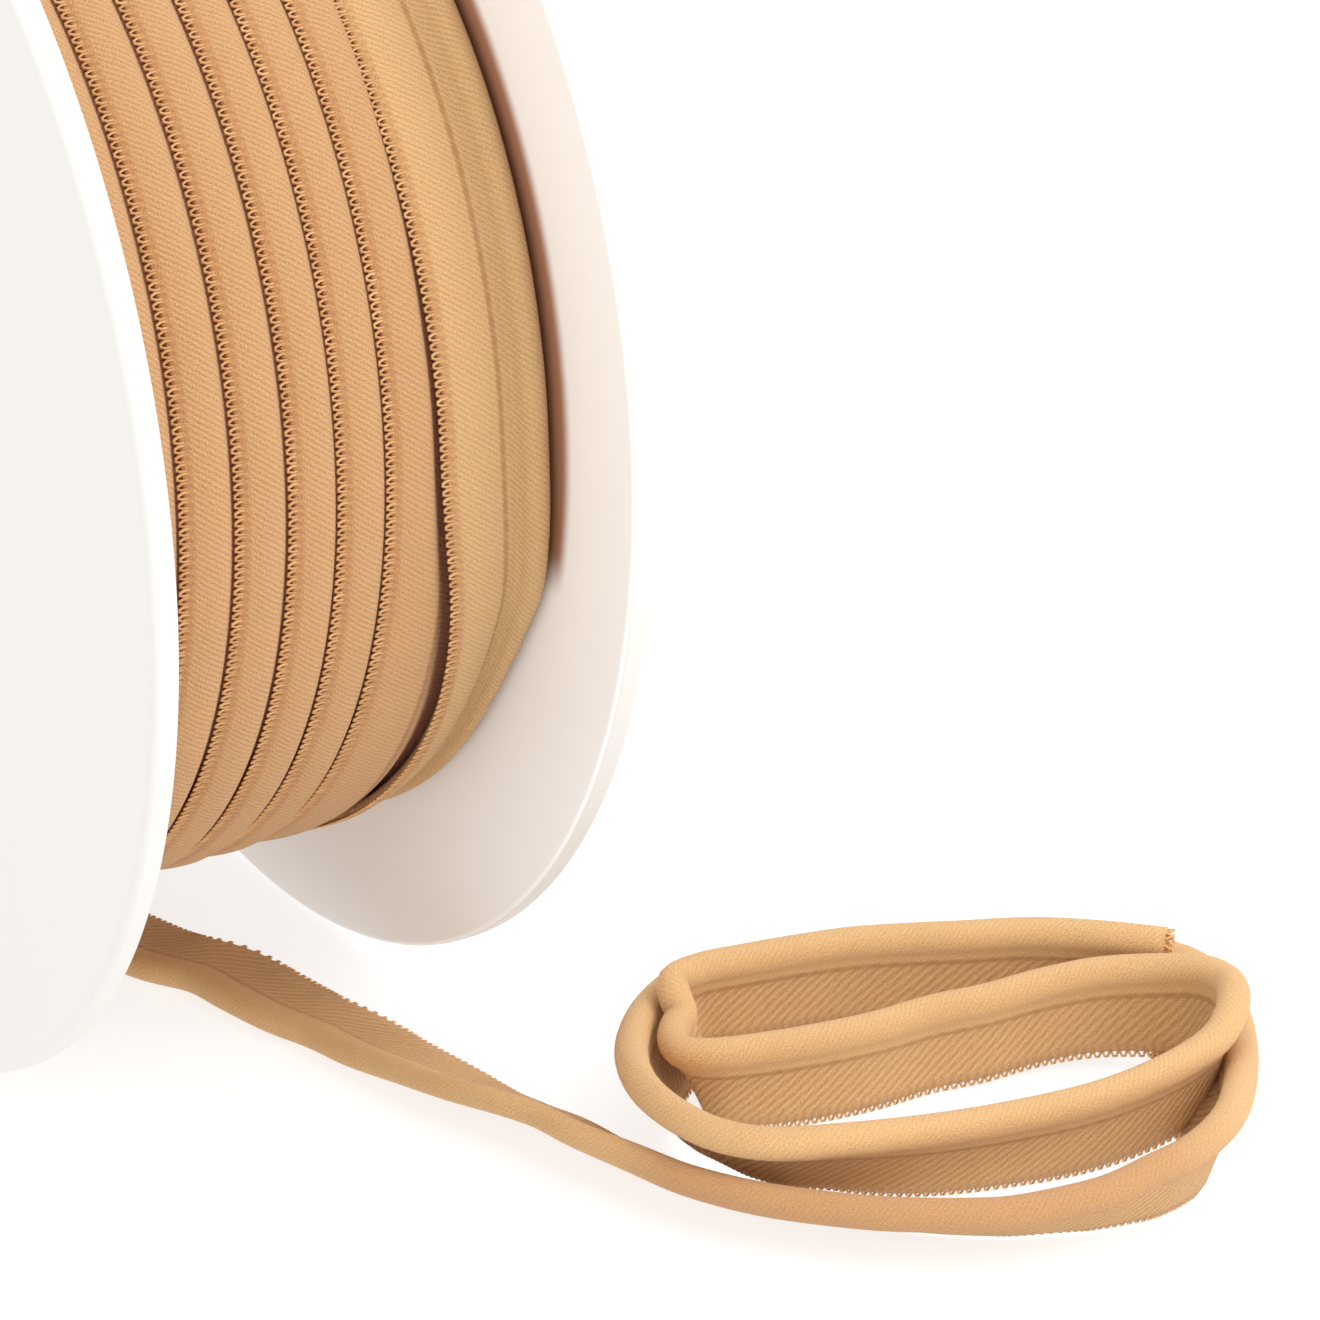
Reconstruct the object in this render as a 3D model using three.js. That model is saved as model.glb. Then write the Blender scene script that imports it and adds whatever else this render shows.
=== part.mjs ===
// Roll of piping trim on a white plastic reel, with its loose end coiled beside it.
// Millimetres, +Z up, X along the reel's axis. It rests on the plane z = 0.
import * as THREE from "three";

// Reel
const flangeRadius = 65;
const flangeThickness = 2.5;
const flangeSpacing = 42.9; // between the inner faces of the two flanges
const rimRounding = 0.7;
const hubRadius = 22;
const hubWall = 2.5;
const reelSegments = 76;
const pieceGap = 0.3;

// Piping tape: a cord sewn into the edge of a flat flange
const tapeWidth = 10;
const tapeThickness = 1;
const cordRadius = 1.6;
const flatReach = tapeWidth - cordRadius; // from the cord's centre to the selvage

// Wound turns, which overlap like shingles
const woundRadius = 51; // at the selvage of each turn
const turnPitch = 5.1;
const grooveDepth = 0.9;
const turnEdges = [-2.2, 2.9, 8.0, 13.2, 18.3, 23.0, 27.7, 32.3]; // at the front of the reel
const firstEdgeTurn = -1; // the turn that the first of those edges starts
const lastTurn = 6;
const lastTurnEdge = 32.4; // where the far flange stops the last turn
const leaveAngle = 175; // degrees from the front, over the top, to where the tape leaves
const leaveBlend = 12;
const woundRows = 60;

// Height of a covered turn over woundRadius, by the part of the pitch from its selvage
const stripProfile = [
  { at: 0, height: -grooveDepth },
  { at: 0.07, height: 0 },
  { at: 0.3, height: 0.5 },
  { at: 0.55, height: 0.65 },
  { at: 0.8, height: 0.25 },
  { at: 0.95, height: -0.5 },
];

// Height of the uncovered last turn, by the distance from its selvage
const tapeProfile = [
  { at: 0, height: -grooveDepth },
  { at: 0.35, height: 0 },
  { at: 2.4, height: 0.6 },
  { at: 4.6, height: 0.6 },
  { at: 6.6, height: 0.2 },
  { at: 7.4, height: 1.5 },
  { at: 8.3, height: 1.9 },
  { at: 9.3, height: 1.4 },
  { at: 10, height: -0.6 },
];

// Loose end, from the back of the reel. Each row places the cord's centre. The flat hangs
// from the cord: lean is its angle from straight down, and facing is the direction, in
// degrees from +X, that it leans in. The first rows drop freely and state their height.
const dropRoute = [
  { x: 40.6, y: 53.9, z: 74.5, lean: 90, facing: 180 },
  { x: 40.4, y: 55.1, z: 64, lean: 90, facing: 178 },
  { x: 38, y: 57.4, z: 50, lean: 90, facing: 150 },
  { x: 31, y: 58.5, z: 36, lean: 90, facing: 92 },
  { x: 22, y: 57, z: 21, lean: 90, facing: 30 },
  { x: 16, y: 50, z: 8.5, lean: 88, facing: 10 },
];

// The other rows stand or lie on the floor, or a little above it on the tape below
const floorRoute = [
  { x: 14, y: 40, lift: 0, lean: 79, facing: 5 },
  { x: 14.5, y: 27, lift: 0, lean: 79, facing: 8 },
  { x: 17, y: 13, lift: 0, lean: 79, facing: 14 },
  { x: 20, y: 0, lift: 0, lean: 79, facing: 20 },
  { x: 22.9, y: -10.2, lift: 0.0, lean: 79, facing: 24 },
  { x: 24.3, y: -14.3, lift: 0.0, lean: 79, facing: 17 },
  { x: 26.2, y: -20.6, lift: 0.0, lean: 78, facing: 18 },
  { x: 28.2, y: -26.4, lift: 0.0, lean: 78, facing: 18 },
  { x: 30.1, y: -32.3, lift: 0.0, lean: 77, facing: 19 },
  { x: 32.2, y: -37.8, lift: 0.0, lean: 77, facing: 23 },
  { x: 34.5, y: -42.9, lift: 0.0, lean: 77, facing: 24 },
  { x: 36.7, y: -47.9, lift: 0.0, lean: 77, facing: 24 },
  { x: 38.9, y: -52.9, lift: 0.0, lean: 77, facing: 24 },
  { x: 40.9, y: -58.1, lift: 0.0, lean: 79, facing: 18 },
  { x: 42.6, y: -63.9, lift: 0.0, lean: 79, facing: 14 },
  { x: 44.2, y: -69.4, lift: 0.0, lean: 79, facing: 20 },
  { x: 46.4, y: -74.1, lift: 0.0, lean: 79, facing: 29 },
  { x: 48.9, y: -78.2, lift: 0.0, lean: 77, facing: 29 },
  { x: 51.0, y: -82.8, lift: 0.0, lean: 70, facing: 23 },
  { x: 53.3, y: -87.8, lift: 0.0, lean: 60, facing: 27 },
  { x: 56.1, y: -92.1, lift: 0.0, lean: 50, facing: 44 },
  { x: 59.9, y: -94.9, lift: 0.0, lean: 46, facing: 59 },
  { x: 64.5, y: -97.2, lift: 0.0, lean: 44, facing: 70 },
  { x: 70.1, y: -98.2, lift: 0.0, lean: 47, facing: 87 },
  { x: 75.7, y: -97.7, lift: 0.0, lean: 47, facing: 102 },
  { x: 81.1, y: -95.9, lift: 0.0, lean: 48, facing: 117 },
  { x: 86.2, y: -92.5, lift: 0.0, lean: 52, facing: 127 },
  { x: 91.0, y: -88.5, lift: 0.0, lean: 57, facing: 135 },
  { x: 94.8, y: -84.1, lift: 0.0, lean: 61, facing: 142 },
  { x: 97.7, y: -80.1, lift: 0.0, lean: 62, facing: 146 },
  { x: 100.7, y: -75.1, lift: 0.0, lean: 63, facing: 155 },
  { x: 102.2, y: -70.2, lift: 0.0, lean: 58, facing: 173 },
  { x: 101.4, y: -66.1, lift: 0.0, lean: 54, facing: 215 },
  { x: 97.4, y: -62.3, lift: 0.0, lean: 50, facing: 232 },
  { x: 91.6, y: -57.7, lift: 0.0, lean: 48, facing: 233 },
  { x: 85.5, y: -53.4, lift: 0.0, lean: 48, facing: 237 },
  { x: 79.1, y: -49.8, lift: 0.0, lean: 48, facing: 246 },
  { x: 71.8, y: -47.5, lift: 0.0, lean: 46, facing: 257 },
  { x: 65.9, y: -46.4, lift: 0.0, lean: 43, facing: 262 },
  { x: 60.8, y: -46.4, lift: 0.0, lean: 42, facing: 285 },
  { x: 55.0, y: -49.6, lift: 0.2, lean: 36, facing: 308 },
  { x: 49.7, y: -54.4, lift: 0.8, lean: 30, facing: 317 },
  { x: 45.8, y: -59.7, lift: 1.8, lean: 30, facing: 330 },
  { x: 43.6, y: -65.3, lift: 2.5, lean: 34, facing: 347 },
  { x: 43.2, y: -70.8, lift: 3.0, lean: 38, facing: 363 },
  { x: 44.3, y: -76.0, lift: 3.0, lean: 38, facing: 379 },
  { x: 47.1, y: -80.1, lift: 3.0, lean: 35, facing: 410 },
  { x: 53.1, y: -83.3, lift: 2.8, lean: 29, facing: 431 },
  { x: 60.5, y: -85.1, lift: 1.7, lean: 20, facing: 440 },
  { x: 68.3, y: -86.4, lift: 0.7, lean: 17, facing: 441 },
  { x: 76.4, y: -87.4, lift: 0.6, lean: 17, facing: 446 },
  { x: 82.4, y: -87.3, lift: 1.5, lean: 18, facing: 455 },
  { x: 87.4, y: -86.7, lift: 2.6, lean: 20, facing: 460 },
  { x: 91.0, y: -85.7, lift: 3.2, lean: 21, facing: 474 },
  { x: 93.9, y: -83.7, lift: 4.1, lean: 20, facing: 497 },
  { x: 96.1, y: -80.2, lift: 4.0, lean: 20, facing: 530 },
  { x: 95.5, y: -77.4, lift: 3.9, lean: 15, facing: 565 },
  { x: 93.2, y: -73.9, lift: 2.9, lean: 8, facing: 581 },
  { x: 88.6, y: -70.6, lift: 1.8, lean: 3, facing: 603 },
  { x: 83.6, y: -69.0, lift: 0.9, lean: 0, facing: 619 },
  { x: 78.2, y: -68.1, lift: 0.4, lean: 0, facing: 616 },
  { x: 73.1, y: -66.8, lift: 0.1, lean: 0, facing: 621 },
  { x: 67.7, y: -66.5, lift: 0.0, lean: 0, facing: 625 },
  { x: 62.8, y: -65.8, lift: 0.0, lean: 0, facing: 618 },
  { x: 57.5, y: -64.6, lift: 0.0, lean: -2, facing: 616 },
  { x: 52.5, y: -63.0, lift: 0.2, lean: -10, facing: 602 },
  { x: 50.6, y: -61.1, lift: 0.3, lean: -20, facing: 546 },
  { x: 51.0, y: -58.8, lift: 0.5, lean: -24, facing: 516 },
  { x: 52.4, y: -56.9, lift: 0.8, lean: -24, facing: 494 },
  { x: 54.1, y: -55.1, lift: 1.1, lean: -24, facing: 506 },
  { x: 54.5, y: -54.0, lift: 1.8, lean: -18, facing: 490 },
  { x: 56.0, y: -53.4, lift: 2.3, lean: -8, facing: 458 },
  { x: 60.8, y: -53.2, lift: 2.4, lean: 0, facing: 447 },
  { x: 66.4, y: -54.1, lift: 2.4, lean: 0, facing: 437 },
  { x: 71.6, y: -55.7, lift: 2.4, lean: 0, facing: 430 },
  { x: 75.9, y: -57.6, lift: 2.4, lean: 0, facing: 423 },
  { x: 80.7, y: -60.2, lift: 2.5, lean: 0, facing: 423 },
  { x: 86.5, y: -63.1, lift: 2.5, lean: 0, facing: 420 },
  { x: 91.5, y: -67.0, lift: 2.5, lean: 0, facing: 407 },
  { x: 95.7, y: -71.2, lift: 2.5, lean: 0, facing: 403 },
];
const floorClearance = 0.05;
const looseSteps = 215;

const plastic = new THREE.MeshStandardMaterial({ color: 0xf4efe9, roughness: 0.45, metalness: 0 });
const trimCloth = new THREE.MeshStandardMaterial({ color: 0xd2a878, roughness: 0.9, metalness: 0 });

const radians = THREE.MathUtils.degToRad;

// Half a reel: a flange with a rounded rim, and its half of the hollow hub towards +Y
function reelHalfGeometry() {
  const bore = hubRadius - hubWall;
  const hubEnd = (flangeSpacing - pieceGap) / 2;
  const profile = [
    [bore, -flangeThickness],
    [flangeRadius - rimRounding, -flangeThickness],
    [flangeRadius - rimRounding * 0.3, -flangeThickness + rimRounding * 0.3],
    [flangeRadius, -flangeThickness + rimRounding],
    [flangeRadius, -rimRounding],
    [flangeRadius - rimRounding * 0.3, -rimRounding * 0.3],
    [flangeRadius - rimRounding, 0],
    [hubRadius, 0],
    [hubRadius, hubEnd],
    [bore, hubEnd],
    [bore, -flangeThickness],
  ];
  const points = profile.map(([radius, along]) => new THREE.Vector2(radius, along));
  // Half a step of turn puts a flat of the rim, and not a corner, on the floor
  return new THREE.LatheGeometry(points, reelSegments, Math.PI / reelSegments);
}

// Heights between the rows of a profile, which is a table of places and heights
function profileHeight(profile, at) {
  const next = profile.findIndex((row) => row.at > at);
  if (next === 0) return profile[0].height;
  if (next < 0) return profile[profile.length - 1].height;
  const [low, high] = [profile[next - 1], profile[next]];
  return THREE.MathUtils.mapLinear(at, low.at, high.at, low.height, high.height);
}

// The place along X of a turn's selvage, counted in turns and parts of a turn
function edgeAt(turn) {
  const index = turn - firstEdgeTurn;
  const last = turnEdges.length - 1;
  if (index <= 0) return turnEdges[0] + index * turnPitch;
  if (index >= last) return turnEdges[last] + (index - last) * turnPitch;
  const row = Math.floor(index);
  return THREE.MathUtils.lerp(turnEdges[row], turnEdges[row + 1], index - row);
}

// The wound turns as one ring. Its columns follow the helix, so after a whole round each
// column meets the same column of the next turn.
function woundTrimGeometry() {
  const left = pieceGap;
  const right = flangeSpacing - pieceGap;
  const bore = hubRadius + pieceGap;
  const axisHeight = flangeRadius * Math.cos(Math.PI / reelSegments);
  const columnsPerTurn = stripProfile.length;
  const columns = [];
  for (let turn = firstEdgeTurn - 1; turn < lastTurn + 3; turn += 1) {
    for (const row of stripProfile) columns.push(turn + row.at);
  }

  // How far the last turn still lies on the reel: 1 before it leaves and 0 behind that
  const onReel = (degrees) => 1 - THREE.MathUtils.smoothstep(degrees, leaveAngle, leaveAngle + leaveBlend);

  function columnPlace(column, degrees) {
    const free = edgeAt(column + degrees / 360);
    if (column < lastTurn - 1) return free;
    const before = edgeAt(lastTurn - 1 + degrees / 360);
    const stop = Math.min(edgeAt(lastTurn + degrees / 360), lastTurnEdge);
    const part = column - (lastTurn - 1);
    const held = part < 1 ? THREE.MathUtils.lerp(before, stop, part) : stop + (part - 1) * turnPitch;
    return THREE.MathUtils.lerp(free, held, onReel(degrees));
  }

  function columnHeight(column, place, degrees) {
    const covered = profileHeight(stripProfile, column - Math.floor(column));
    const heightWith = (turn) => {
      const edge = Math.min(edgeAt(turn + degrees / 360), lastTurnEdge);
      return column < turn ? covered : profileHeight(tapeProfile, place - edge);
    };
    return THREE.MathUtils.lerp(heightWith(lastTurn - 1), heightWith(lastTurn), onReel(degrees));
  }

  const positions = [];
  const index = [];
  function addPoint(place, radius, degrees) {
    const angle = radians(degrees);
    positions.push(place, -radius * Math.cos(angle), axisHeight + radius * Math.sin(angle));
    return positions.length / 3 - 1;
  }

  const rows = [];
  for (let step = 0; step < woundRows; step += 1) {
    const degrees = (360 * step) / woundRows;
    const sideRadius = woundRadius - grooveDepth;
    const row = {
      leftInner: addPoint(left, bore, degrees),
      leftOuter: addPoint(left, sideRadius, degrees),
      rightOuter: addPoint(right, sideRadius, degrees),
      rightInner: addPoint(right, bore, degrees),
    };
    row.middle = columns.map((column) => {
      const place = columnPlace(column, degrees);
      if (place <= left) return row.leftOuter;
      if (place >= right) return row.rightOuter;
      return addPoint(place, woundRadius + columnHeight(column, place, degrees), degrees);
    });
    rows.push(row);
  }
  const first = rows[0];
  rows.push({
    ...first,
    middle: columns.map((column, at) => first.middle[at + columnsPerTurn] ?? first.rightOuter),
  });

  function addTriangle(a, b, c) {
    if (a !== b && b !== c && c !== a) index.push(a, b, c);
  }
  for (let step = 0; step < woundRows; step += 1) {
    const loops = [rows[step], rows[step + 1]].map((row) => [
      row.leftInner,
      row.leftOuter,
      ...row.middle,
      row.rightOuter,
      row.rightInner,
    ]);
    const count = loops[0].length;
    for (let at = 0; at < count; at += 1) {
      const next = (at + 1) % count;
      const [a, b, c, d] = [loops[0][at], loops[0][next], loops[1][next], loops[1][at]];
      addTriangle(a, b, c);
      addTriangle(a, c, d);
    }
  }
  const geometry = new THREE.BufferGeometry();
  geometry.setAttribute("position", new THREE.Float32BufferAttribute(positions, 3));
  geometry.setIndex(index);
  geometry.computeVertexNormals();
  return geometry;
}

// Outline of the tape's section: x runs from the cord's centre to the selvage
function tapeSection() {
  const half = tapeThickness / 2;
  const seamAngle = Math.asin(half / cordRadius);
  const cordSides = 7;
  const outline = [new THREE.Vector2(flatReach, -half), new THREE.Vector2(flatReach, half)];
  for (let side = 0; side <= cordSides; side += 1) {
    const angle = THREE.MathUtils.lerp(seamAngle, 2 * Math.PI - seamAngle, side / cordSides);
    outline.push(new THREE.Vector2(cordRadius * Math.cos(angle), cordRadius * Math.sin(angle)));
  }
  return outline;
}

// Height of the cord's centre where the tape stands on its selvage or lies on its side
function restingHeight(row) {
  const reach = flatReach * Math.cos(radians(row.lean)) + (tapeThickness / 2) * Math.sin(radians(row.lean));
  return row.lift + floorClearance + Math.max(reach, cordRadius);
}

// The loose end: the tape's section carried along its route, leaning as the rows say
function looseEndGeometry() {
  const laid = floorRoute.map((row) => ({ ...row, z: restingHeight(row) }));
  const route = [...dropRoute, ...laid];
  const path = new THREE.CatmullRomCurve3(route.map((row) => new THREE.Vector3(row.x, row.y, row.z)));
  path.arcLengthDivisions = 2000;
  const turns = new THREE.CatmullRomCurve3(
    route.map((row) => new THREE.Vector3(row.lean, row.facing, 0)),
    false,
    "catmullrom",
  );
  const outline = tapeSection();
  const positions = [];
  for (let step = 0; step <= looseSteps; step += 1) {
    const at = path.getUtoTmapping(step / looseSteps);
    const centre = path.getPoint(at);
    const along = path.getTangent(at);
    const { x: leanDegrees, y: facingDegrees } = turns.getPoint(at);
    const lean = radians(leanDegrees);
    const facing = radians(facingDegrees);
    const flat = new THREE.Vector3(
      Math.sin(lean) * Math.cos(facing),
      Math.sin(lean) * Math.sin(facing),
      -Math.cos(lean),
    );
    flat.addScaledVector(along, -flat.dot(along)).normalize();
    const across = new THREE.Vector3().crossVectors(along, flat);
    const section = outline.map((corner) =>
      centre.clone().addScaledVector(flat, corner.x).addScaledVector(across, corner.y),
    );
    const lowest = Math.min(...section.map((point) => point.z));
    const raise = Math.max(0, floorClearance - lowest);
    for (const point of section) positions.push(point.x, point.y, point.z + raise);
  }
  const sides = outline.length;
  const index = [];
  for (let step = 0; step < looseSteps; step += 1) {
    for (let side = 0; side < sides; side += 1) {
      const a = step * sides + side;
      const b = step * sides + ((side + 1) % sides);
      index.push(a, b, b + sides, a, b + sides, a + sides);
    }
  }
  const end = looseSteps * sides;
  for (const [a, b, c] of THREE.ShapeUtils.triangulateShape(outline, [])) {
    index.push(c, b, a, end + a, end + b, end + c);
  }
  const geometry = new THREE.BufferGeometry();
  geometry.setAttribute("position", new THREE.Float32BufferAttribute(positions, 3));
  geometry.setIndex(index);
  geometry.computeVertexNormals();
  return geometry;
}

function namedMesh(name, geometry, material) {
  const mesh = new THREE.Mesh(geometry, material);
  mesh.name = name;
  return mesh;
}

// The lathe turns about Y, so each half is laid over to turn about X
function reelHalf(name, place, turn) {
  const mesh = namedMesh(name, reelHalfGeometry(), plastic);
  mesh.rotation.z = turn;
  mesh.position.set(place, 0, flangeRadius * Math.cos(Math.PI / reelSegments));
  return mesh;
}

const roll = new THREE.Group();
roll.add(
  reelHalf("reel_half_near", 0, -Math.PI / 2),
  reelHalf("reel_half_far", flangeSpacing, Math.PI / 2),
  namedMesh("wound_trim", woundTrimGeometry(), trimCloth),
  namedMesh("loose_end", looseEndGeometry(), trimCloth),
);

// The origin lies on the floor, under the middle of the whole object
const bounds = new THREE.Box3().setFromObject(roll, true);
const middle = bounds.getCenter(new THREE.Vector3());
roll.position.set(-middle.x, -middle.y, 0);

const group = new THREE.Group();
group.add(roll);

export default group;
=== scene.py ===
"""Roll of piping trim on a white plastic reel, with its loose end coiled beside it.

Lengths in the tables are millimetres in the reel's own frame: x runs along the axis from
the inner face of the near flange, y runs away from the camera, and z is height over the
floor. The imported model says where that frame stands.
"""

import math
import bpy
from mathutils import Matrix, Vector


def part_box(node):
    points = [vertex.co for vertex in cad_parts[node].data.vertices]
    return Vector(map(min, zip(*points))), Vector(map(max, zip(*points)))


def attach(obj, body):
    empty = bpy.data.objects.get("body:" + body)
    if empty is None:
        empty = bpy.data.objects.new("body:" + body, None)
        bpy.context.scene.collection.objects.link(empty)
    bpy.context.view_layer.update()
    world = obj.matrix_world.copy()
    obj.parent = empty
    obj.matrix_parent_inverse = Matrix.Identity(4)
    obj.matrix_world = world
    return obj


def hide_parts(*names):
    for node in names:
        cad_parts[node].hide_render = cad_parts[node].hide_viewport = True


bl_info = {
    "name": "Roll of Piping Trim",
    "version": (1, 0, 0),
    "blender": (4, 5, 0),
    "location": "View3D > Sidebar > Piping Trim",
    "description": "Builds a reel of corded piping, its wound turns and its loose end",
    "category": "Add Mesh",
}

import bpy
import numpy as np
from mathutils import Vector

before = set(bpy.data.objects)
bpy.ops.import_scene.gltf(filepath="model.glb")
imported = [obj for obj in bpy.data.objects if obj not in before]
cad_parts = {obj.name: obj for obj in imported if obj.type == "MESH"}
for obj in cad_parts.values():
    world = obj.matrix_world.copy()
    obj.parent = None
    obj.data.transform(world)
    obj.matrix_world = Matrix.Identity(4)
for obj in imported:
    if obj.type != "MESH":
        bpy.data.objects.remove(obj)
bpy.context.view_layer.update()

MM = 0.001
NEAR_LOW, NEAR_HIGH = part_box("reel_half_near")
FLANGE_THICKNESS = 2.5
FLANGE_SPACING = 42.9
HALVES_GAP = 0.3
REEL_SEGMENTS = 288
AXIS_HEIGHT = (NEAR_LOW[2] + NEAR_HIGH[2]) / 2 / MM
REEL_Y = (NEAR_LOW[1] + NEAR_HIGH[1]) / 2 / MM
ORIGIN = np.array([NEAR_LOW[0] / MM + FLANGE_THICKNESS, REEL_Y, 0.0])

CAMERA_PLACE = (-206.075, -463.149, 275.677)
FLOOR_REACH = 3000.0
SOFTBOX_SIDE = 0.9  # metres
LIGHT_TARGET = Vector((0, 0, 0.04))  # metres

# The wound turns: places of the selvages at the front of the reel, from turn -1 to 6
TURN_EDGES = np.array([-2.2, 2.9, 8.0, 13.2, 18.3, 23.0, 27.7, 32.3])
FIRST_TURN = -1
TURN_PITCH = 5.1
FIRST_PICOT_TURN = -0.45
LAST_TURN = 6
LAST_TURN_EDGE = 32.4
LEAVE_ANGLE = 175.0
LEAVE_BLEND = 12.0
SIDE_GAP = 0.35
ROWS_PER_TURN = 240
STRIP_THICKNESS = 0.75
OUTSIDE_SHARE = 0.004  # of the width past a flange, which is pressed flat against it
SELVAGE_EDGE = 0.8  # width of cloth round the selvage's edge
CORE_BORE = 22.4
CORE_DEPTH = 1.5  # under the wound radius
CORE_SEGMENTS = 144
# painted shade over the whole core, which shows only deep in the gaps between turns
CORE_SHADE = 0.85
COVERED_SHADE = 0.27  # painted shade on the turns that another covers, apart from the grooves

# Height of the cloth over the wound radius, by the distance from the selvage
COVERED_PROFILE = np.array([
    (0.0, -0.05), (0.25, 0.12), (0.9, 0.4), (1.8, 0.62), (2.6, 0.68), (3.3, 0.55),
    (3.8, 0.25), (4.1, -0.1), (4.35, -0.45), (4.6, -0.7), (5.2, -0.85), (6.2, -0.9),
])
LAST_PROFILE = np.array([
    (0.0, -0.05), (0.25, 0.1), (1.2, 0.42), (2.4, 0.6), (3.6, 0.64), (4.8, 0.55),
    (5.8, 0.3), (6.5, 0.12),
])

# The last turn, by degrees from the front over the top: shift of its selvage along the axis,
# and the rise of its selvage and of its cord. It crosses to the far flange in front.
LAST_TURN_SHAPE = np.array([
    (-180, 0, 0, 0), (-120, 0.5, 0.1, -1.0), (-90, 1.2, 0.2, -1.8), (-60, 2.4, 0.5, -2.6),
    (-42, 3.2, 0.9, -2.6), (-30, 3.1, 1.2, -2.2), (-21, 2.5, 1.3, -1.0), (-14, 1.8, 1.2, 0.5),
    (-7, 0.9, 0.9, 0.5), (0, 0.4, 0.6, 0.1), (10, 0.3, 0.4, 0), (28, 0.2, 0.2, 0),
    (45, 0.1, 0, 0), (175, 0, 0, 0),
])

# Girth of the cord by the distance from where the tape leaves the roll
CORD_GIRTH = np.array([
    (0, 1), (105, 0.9), (141, 0.8), (165, 0.78), (180, 0.72), (193, 0.74), (208, 0.92), (220, 1), (600, 1),
])
FLOOR_GAP = 0.12  # between the floor and the lowest of the cloth
FINE_STEPS = 6000  # along the whole route, to measure it
LOOSE_STEP = 0.8
# painted shade on the cord of the coil's front band
FRONT_CORD_SHADE = 0.4
PICOT_ACROSS = 12.0  # where the picots' UV lies across the cloth, outside the selvage
SEAM_ANGLE = 42  # from the flat's direction to where the cord's round begins

# The loose end: x, y, height, lean and facing of the free drop behind the reel
DROP_ROUTE = np.array([
    (40.9, 49.3, 79, 90, 180), (40.9, 50.9, 72.5, 90, 180), (40.7, 52.8, 65.5, 90, 179),
    (40, 55.4, 57, 90, 168), (37.8, 57.4, 49, 90, 148), (31, 58.5, 36, 90, 92),
    (22, 57, 21, 90, 30), (16, 50, 8.5, 88, 10),
])
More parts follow.
